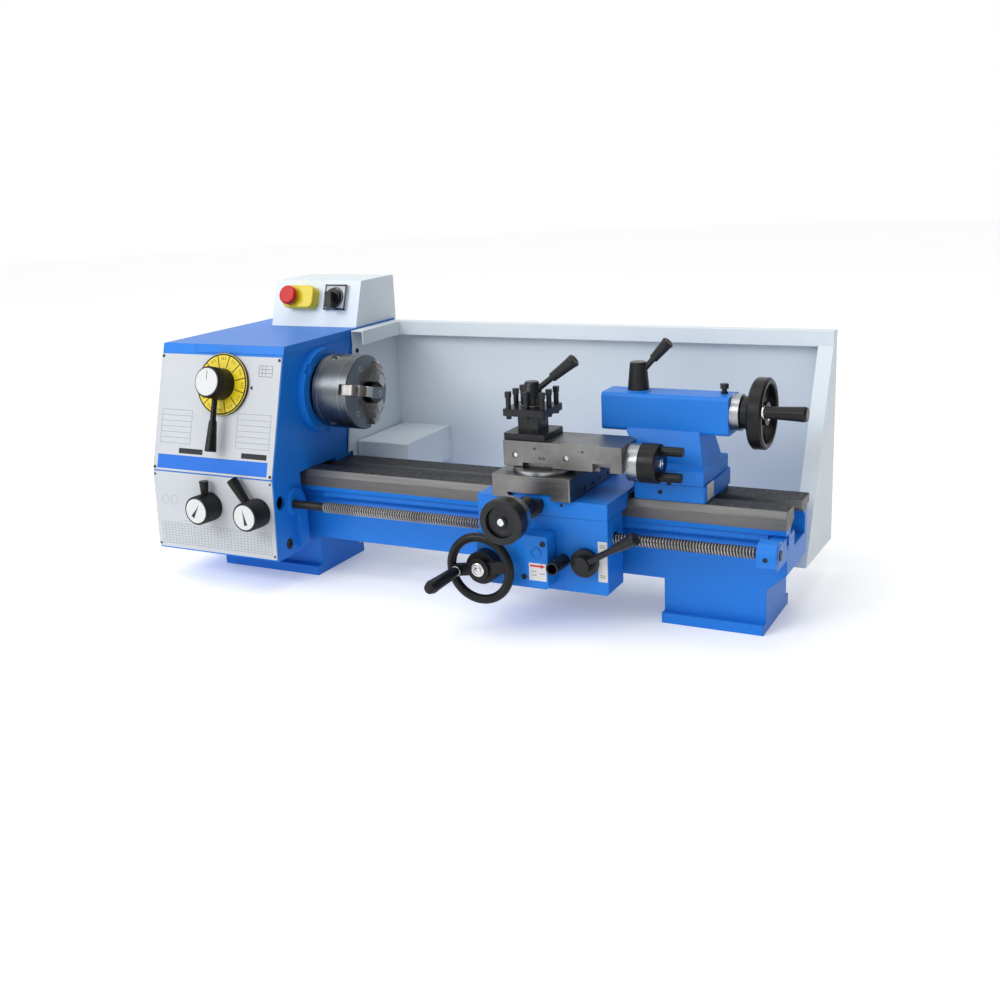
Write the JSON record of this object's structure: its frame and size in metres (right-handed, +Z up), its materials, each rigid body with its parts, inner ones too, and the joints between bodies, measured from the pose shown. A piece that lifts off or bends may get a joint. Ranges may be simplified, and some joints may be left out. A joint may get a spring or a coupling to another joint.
{
  "type": "metal lathe",
  "caption": "Bench metal-turning lathe: headstock with three-jaw chuck, carriage with cross and top slide and four-way tool post, tailstock, splash guard.",
  "frame": {"origin": "centre of the four bench bolt holes, on the underside of the feet", "axes": "+X along the bed from headstock to tailstock, +Y from the operator to the back, +Z up"},
  "size_m": [1.095, 0.547, 0.48],
  "materials": {
    "blue_paint": "glossy blue machine enamel over cast iron",
    "guard_paint": "light grey satin enamel on sheet steel",
    "way_steel": "ground cast iron and steel, lightly oiled",
    "chuck_steel": "turned and ground steel, bright",
    "screw_steel": "oiled dark steel",
    "dial_steel": "satin chromed, engraved with graduations",
    "black_oxide": "blackened steel, semi-gloss",
    "black_plastic": "black phenolic plastic",
    "plate": "printed metal plate with rules and blank tables",
    "dial_yellow": "yellow printed disc with black sectors",
    "red_plastic": "red stop button",
    "yellow_plastic": "yellow switch housing",
    "rubber": "black rubber",
    "motor_paint": "blue enamel on aluminium"
  },
  "bodies": {
    "frame": {"bed": "blue_paint", "rack": "blue_paint", "headstock_casting": "blue_paint", "headstock_lid": "blue_paint", "gear_cover": "blue_paint", "control_plate_upper": "plate", "control_plate_lower": "plate", "speed_disc": "dial_yellow", "spindle_ring": "blue_paint", "spindle_bearings": "chuck_steel", "motor_body": "motor_paint", "drive_belt": "rubber", "leadscrew_bracket": "blue_paint", "electrical_box": "guard_paint", "stop_base": "yellow_plastic", "switch_plate": "plate", "splash_guard": "guard_paint", "rear_cover": "guard_paint"},
    "spindle": {"spindle_shaft": "chuck_steel", "spindle_pulley": "black_oxide", "chuck_body": "chuck_steel", "chuck_pinions": "screw_steel"},
    "scroll": {"chuck_scroll": "screw_steel"},
    "jaw_1": {"chuck_jaw_1": "chuck_steel"},
    "jaw_2": {"chuck_jaw_2": "chuck_steel"},
    "jaw_3": {"chuck_jaw_3": "chuck_steel"},
    "motor": {"motor_rotor": "screw_steel"},
    "idler": {"idler_gear": "screw_steel"},
    "lead_screw": {"leadscrew": "screw_steel"},
    "speed_selector": {"speed_lever": "black_plastic"},
    "feed_selector_left": {"left_selector": "black_plastic"},
    "feed_selector_right": {"right_selector": "black_plastic"},
    "stop_button": {"stop_button": "red_plastic"},
    "switch_knob": {"switch_knob": "black_plastic"},
    "carriage": {"saddle": "blue_paint", "apron": "blue_paint", "apron_cover": "blue_paint", "screw_bracket": "black_oxide", "way_wipers": "black_oxide"},
    "carriage_wheel": {"carriage_wheel": "black_plastic"},
    "carriage_grip": {"carriage_grip": "black_plastic"},
    "half_nut_lever": {"half_nut_lever": "black_oxide"},
    "feed_knob": {"feed_knob": "black_oxide"},
    "cross_slide": {"cross_slide": "way_steel"},
    "cross_wheel": {"cross_wheel": "black_oxide", "cross_dial": "dial_steel"},
    "swivel": {"swivel_base": "way_steel"},
    "top_slide": {"top_slide": "way_steel"},
    "top_slide_wheel": {"top_slide_wheel": "black_plastic", "top_slide_dial": "dial_steel"},
    "tool_post": {"tool_post": "black_oxide"},
    "tool_post_lever": {"tool_post_lever": "black_oxide"},
    "tailstock": {"tailstock_base": "blue_paint", "tailstock_body": "blue_paint", "tailstock_clamp": "screw_steel"},
    "quill": {"quill": "chuck_steel"},
    "tail_wheel": {"tail_wheel": "black_plastic", "tail_dial": "dial_steel"},
    "tail_grip": {"tail_grip": "black_plastic"},
    "quill_lever": {"quill_lever": "black_oxide"}
  },
  "joints": [
    {"name": "spindle_turn", "type": "hinge", "parent": "frame", "child": "spindle", "pos_m": [-0.3, 0, 0.312], "axis": [1, 0, 0], "continuous": true},
    {"name": "scroll_turn", "type": "hinge", "parent": "spindle", "child": "scroll", "pos_m": [-0.227, 0, 0.312], "axis": [1, 0, 0], "range_deg": [-576, 576]},
    {"name": "jaw_1_slide", "type": "slide", "parent": "spindle", "child": "jaw_1", "axis": [0, -0.9703, 0.2419], "range_m": [-0.0081, 0.0081]},
    {"name": "jaw_2_slide", "type": "slide", "parent": "spindle", "child": "jaw_2", "axis": [0, 0.6947, 0.7193], "range_m": [-0.0081, 0.0081]},
    {"name": "jaw_3_slide", "type": "slide", "parent": "spindle", "child": "jaw_3", "axis": [0, 0.2756, -0.9613], "range_m": [-0.0081, 0.0081]},
    {"name": "motor_turn", "type": "hinge", "parent": "frame", "child": "motor", "pos_m": [-0.45, 0.17, 0.205], "axis": [1, 0, 0], "continuous": true},
    {"name": "idler_turn", "type": "hinge", "parent": "frame", "child": "idler", "pos_m": [-0.525, -0.04439, 0.21684], "axis": [1, 0, 0], "continuous": true},
    {"name": "lead_screw_turn", "type": "hinge", "parent": "frame", "child": "lead_screw", "pos_m": [0, -0.117, 0.141], "axis": [1, 0, 0], "continuous": true},
    {"name": "speed_selector_turn", "type": "hinge", "parent": "frame", "child": "speed_selector", "pos_m": [-0.408, -0.11323, 0.33656], "axis": [0, -0.9576, 0.288], "range_deg": [-60, 60]},
    {"name": "feed_selector_left_turn", "type": "hinge", "parent": "frame", "child": "feed_selector_left", "pos_m": [-0.425, -0.15935, 0.13705], "axis": [0, -0.9991, 0.0434], "range_deg": [-40, 40]},
    {"name": "feed_selector_right_turn", "type": "hinge", "parent": "frame", "child": "feed_selector_right", "pos_m": [-0.325, -0.15943, 0.13505], "axis": [0, -0.9991, 0.0434], "range_deg": [-40, 40]},
    {"name": "stop_button_press", "type": "slide", "parent": "frame", "child": "stop_button", "axis": [0, 0.9432, -0.3322], "range_m": [0, 0.004], "stiffness_N_per_m": 400},
    {"name": "switch_knob_turn", "type": "hinge", "parent": "frame", "child": "switch_knob", "pos_m": [-0.343, 0.13961, 0.45049], "axis": [0, -0.9432, 0.3322], "range_deg": [-45, 45]},
    {"name": "carriage_slide", "type": "slide", "parent": "frame", "child": "carriage", "axis": [1, 0, 0], "range_m": [-0.27, 0.002]},
    {"name": "carriage_wheel_turn", "type": "hinge", "parent": "carriage", "child": "carriage_wheel", "pos_m": [0.108, -0.2, 0.101], "axis": [0, 1, 0], "range_deg": [-4053, 33]},
    {"name": "carriage_grip_turn", "type": "hinge", "parent": "carriage_wheel", "child": "carriage_grip", "pos_m": [0.071, -0.24, 0.095], "axis": [0, 1, 0], "continuous": true},
    {"name": "half_nut_lever_turn", "type": "hinge", "parent": "carriage", "child": "half_nut_lever", "pos_m": [0.254, -0.155, 0.11], "axis": [0, 1, 0], "range_deg": [0, 40]},
    {"name": "feed_knob_pull", "type": "slide", "parent": "carriage", "child": "feed_knob", "axis": [0, -1, 0], "range_m": [0, 0.008]},
    {"name": "cross_slide_slide", "type": "slide", "parent": "carriage", "child": "cross_slide", "axis": [0, 1, 0], "range_m": [-0.045, 0.003]},
    {"name": "cross_wheel_turn", "type": "hinge", "parent": "carriage", "child": "cross_wheel", "pos_m": [0.1705, -0.23, 0.192], "axis": [0, 1, 0], "range_deg": [-4059, 279]},
    {"name": "swivel_turn", "type": "hinge", "parent": "cross_slide", "child": "swivel", "pos_m": [0.174, -0.106, 0.238], "axis": [0, 0, 1], "range_deg": [-50, 0]},
    {"name": "top_slide_slide", "type": "slide", "parent": "swivel", "child": "top_slide", "axis": [1, 0, 0], "range_m": [-0.03, 0.03]},
    {"name": "top_slide_wheel_turn", "type": "hinge", "parent": "top_slide", "child": "top_slide_wheel", "pos_m": [0.31, -0.093, 0.2515], "axis": [1, 0, 0], "range_deg": [-3612, 3612]},
    {"name": "tool_post_turn", "type": "hinge", "parent": "top_slide", "child": "tool_post", "pos_m": [0.151, -0.091, 0.3], "axis": [0, 0, 1], "continuous": true},
    {"name": "tool_post_lever_turn", "type": "hinge", "parent": "top_slide", "child": "tool_post_lever", "pos_m": [0.151, -0.091, 0.34], "axis": [0, 0, 1], "range_deg": [-60, 60]},
    {"name": "tailstock_slide", "type": "slide", "parent": "frame", "child": "tailstock", "axis": [1, 0, 0], "range_m": [0, 0.11]},
    {"name": "quill_slide", "type": "slide", "parent": "tailstock", "child": "quill", "axis": [-1, 0, 0], "range_m": [0, 0.0601]},
    {"name": "tail_wheel_turn", "type": "hinge", "parent": "tailstock", "child": "tail_wheel", "pos_m": [0.472, 0, 0.312], "axis": [1, 0, 0], "range_deg": [-8640, 0]},
    {"name": "tail_grip_turn", "type": "hinge", "parent": "tail_wheel", "child": "tail_grip", "pos_m": [0.5, -0.04057, 0.32287], "axis": [1, 0, 0], "continuous": true},
    {"name": "quill_lever_turn", "type": "hinge", "parent": "tailstock", "child": "quill_lever", "pos_m": [0.284, 0, 0.345], "axis": [0, 0, 1], "range_deg": [-60, 30]}
  ],
  "couplings": [
    {"joint": "jaw_1_slide", "follows": "scroll_turn", "m_per_rad": 0.00079577},
    {"joint": "jaw_2_slide", "follows": "scroll_turn", "m_per_rad": 0.00079577},
    {"joint": "jaw_3_slide", "follows": "scroll_turn", "m_per_rad": 0.00079577},
    {"joint": "motor_turn", "follows": "spindle_turn", "ratio": 2},
    {"joint": "idler_turn", "follows": "spindle_turn", "ratio": -0.4},
    {"joint": "lead_screw_turn", "follows": "spindle_turn", "ratio": 1},
    {"joint": "carriage_wheel_turn", "follows": "carriage_slide", "rad_per_m": 261.8},
    {"joint": "cross_wheel_turn", "follows": "cross_slide_slide", "rad_per_m": 1570.8},
    {"joint": "top_slide_wheel_turn", "follows": "top_slide_slide", "rad_per_m": 2094.4},
    {"joint": "quill_slide", "follows": "tail_wheel_turn", "m_per_rad": -0.00039789}
  ]
}
